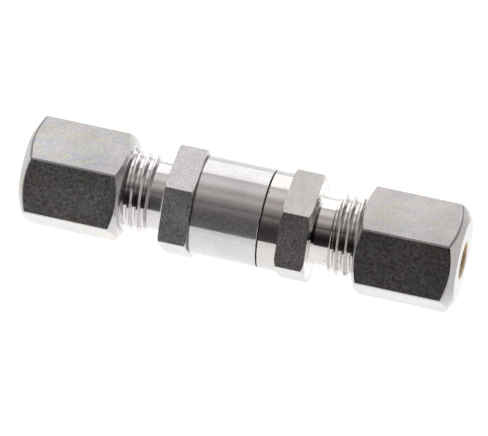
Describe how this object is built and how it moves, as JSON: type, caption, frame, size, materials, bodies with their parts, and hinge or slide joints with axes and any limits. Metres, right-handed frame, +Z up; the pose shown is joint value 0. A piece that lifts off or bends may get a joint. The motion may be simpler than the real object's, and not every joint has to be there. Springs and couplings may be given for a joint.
{
  "type": "check valve",
  "caption": "Straight in-line check valve, spring-loaded poppet in a two-part body with hexagons, and a cutting-ring tube fitting with a union nut at each end.",
  "frame": {"origin": "mid-length of the valve, on the bore axis", "axes": "+X along the bore from inlet to outlet, +Z up, with a flat of every hexagon downwards"},
  "size_m": [0.0752, 0.0196, 0.017],
  "materials": {
    "body_steel": "turned stainless steel",
    "stud_steel": "turned stainless steel",
    "nut_steel": "satin stainless steel",
    "ring_steel": "turned stainless steel",
    "poppet_steel": "turned stainless steel",
    "seal_rubber": "smooth black elastomer",
    "spring_steel": "drawn stainless wire"
  },
  "bodies": {
    "valve_body": {"inlet_body": "body_steel", "outlet_stud": "stud_steel", "body_seal": "seal_rubber", "spring": "spring_steel"},
    "poppet": {"poppet": "poppet_steel", "poppet_seal": "seal_rubber"},
    "inlet_ring": {"inlet_cutting_ring": "ring_steel"},
    "inlet_nut": {"inlet_nut": "nut_steel"},
    "outlet_ring": {"outlet_cutting_ring": "ring_steel"},
    "outlet_nut": {"outlet_nut": "nut_steel"}
  },
  "joints": [
    {"name": "poppet_lift", "type": "slide", "parent": "valve_body", "child": "poppet", "axis": [1, 0, 0], "range_m": [0, 0.0016], "stiffness_N_per_m": 250, "springref_m": -0.004, "deforming": ["spring"]},
    {"name": "inlet_ring_travel", "type": "slide", "parent": "valve_body", "child": "inlet_ring", "axis": [1, 0, 0], "range_m": [-0.003, 0.0009]},
    {"name": "inlet_nut_turn", "type": "hinge", "parent": "inlet_ring", "child": "inlet_nut", "pos_m": [-0.03, 0, 0], "axis": [1, 0, 0], "range_deg": [-720.1, 216.1]},
    {"name": "outlet_ring_travel", "type": "slide", "parent": "valve_body", "child": "outlet_ring", "axis": [-1, 0, 0], "range_m": [-0.003, 0.0009]},
    {"name": "outlet_nut_turn", "type": "hinge", "parent": "outlet_ring", "child": "outlet_nut", "pos_m": [0.03, 0, 0], "axis": [-1, 0, 0], "range_deg": [-720.1, 216.1]}
  ],
  "couplings": [
    {"joint": "inlet_nut_turn", "follows": "inlet_ring_travel", "rad_per_m": 4188.8},
    {"joint": "outlet_nut_turn", "follows": "outlet_ring_travel", "rad_per_m": 4188.8}
  ]
}
